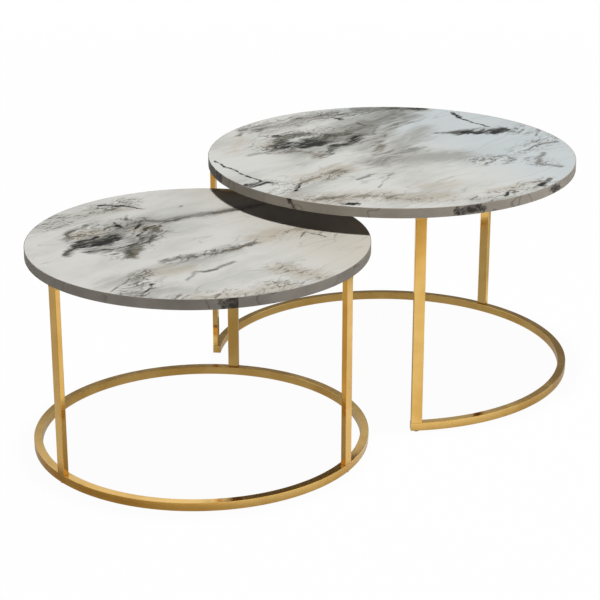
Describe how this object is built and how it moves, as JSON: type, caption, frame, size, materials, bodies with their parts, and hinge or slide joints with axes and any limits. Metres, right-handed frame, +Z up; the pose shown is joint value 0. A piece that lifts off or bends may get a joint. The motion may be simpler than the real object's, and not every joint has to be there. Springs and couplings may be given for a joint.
{
  "type": "nesting tables",
  "caption": "Round nesting coffee tables with glossy marble-look tops on slim gold tube frames; the low table slides in under the tall one through its open base ring.",
  "frame": {"origin": "on the floor, in the middle of the pair's box as it stands part-nested", "axes": "+X from the low table's axis to the tall table's axis, +Z up"},
  "size_m": [1.1579, 0.7, 0.425],
  "materials": {
    "marble_face": "glossy printed marble look under clear lacquer",
    "board_core": "pressed wood-fibre board",
    "brown_backing": "brown balancing sheet, satin",
    "edge_band": "printed stone-grey edge strip",
    "gold_tube": "polished gold plating on steel tube",
    "gold_plate": "gold plating on flat steel",
    "zinc_fastener": "bright zinc plating",
    "zinc_insert": "zinc plated block",
    "glide_plastic": "black moulded plastic"
  },
  "bodies": {
    "large_table": {"large_back_glide": "glide_plastic", "large_back_leg": "gold_tube", "large_back_leg_plate": "gold_plate", "large_base_ring": "gold_tube", "large_edge_band": "edge_band", "large_end_glide": "glide_plastic", "large_end_leg": "gold_tube", "large_end_leg_plate": "gold_plate", "large_far_end_cap": "gold_tube", "large_leg_bolts": "zinc_fastener", "large_leg_inserts": "zinc_insert", "large_open_end_cap": "gold_tube", "large_open_glide": "glide_plastic", "large_open_leg": "gold_tube", "large_open_leg_plate": "gold_plate", "large_plate_screws": "zinc_fastener", "large_top_backing": "brown_backing", "large_top_core": "board_core", "large_top_face": "marble_face"},
    "small_table": {"small_base_ring": "gold_tube", "small_edge_band": "edge_band", "small_inner_glide": "glide_plastic", "small_inner_leg": "gold_tube", "small_inner_leg_plate": "gold_plate", "small_leg_bolts": "zinc_fastener", "small_leg_inserts": "zinc_insert", "small_outer_glide": "glide_plastic", "small_outer_leg": "gold_tube", "small_outer_leg_plate": "gold_plate", "small_plate_screws": "zinc_fastener", "small_side_glide": "glide_plastic", "small_side_leg": "gold_tube", "small_side_leg_plate": "gold_plate", "small_top_backing": "brown_backing", "small_top_core": "board_core", "small_top_face": "marble_face"}
  },
  "joints": [
    {"name": "nest_slide", "type": "slide", "parent": "large_table", "child": "small_table", "axis": [1, 0, 0], "range_m": [-0.25, 0.115]}
  ]
}
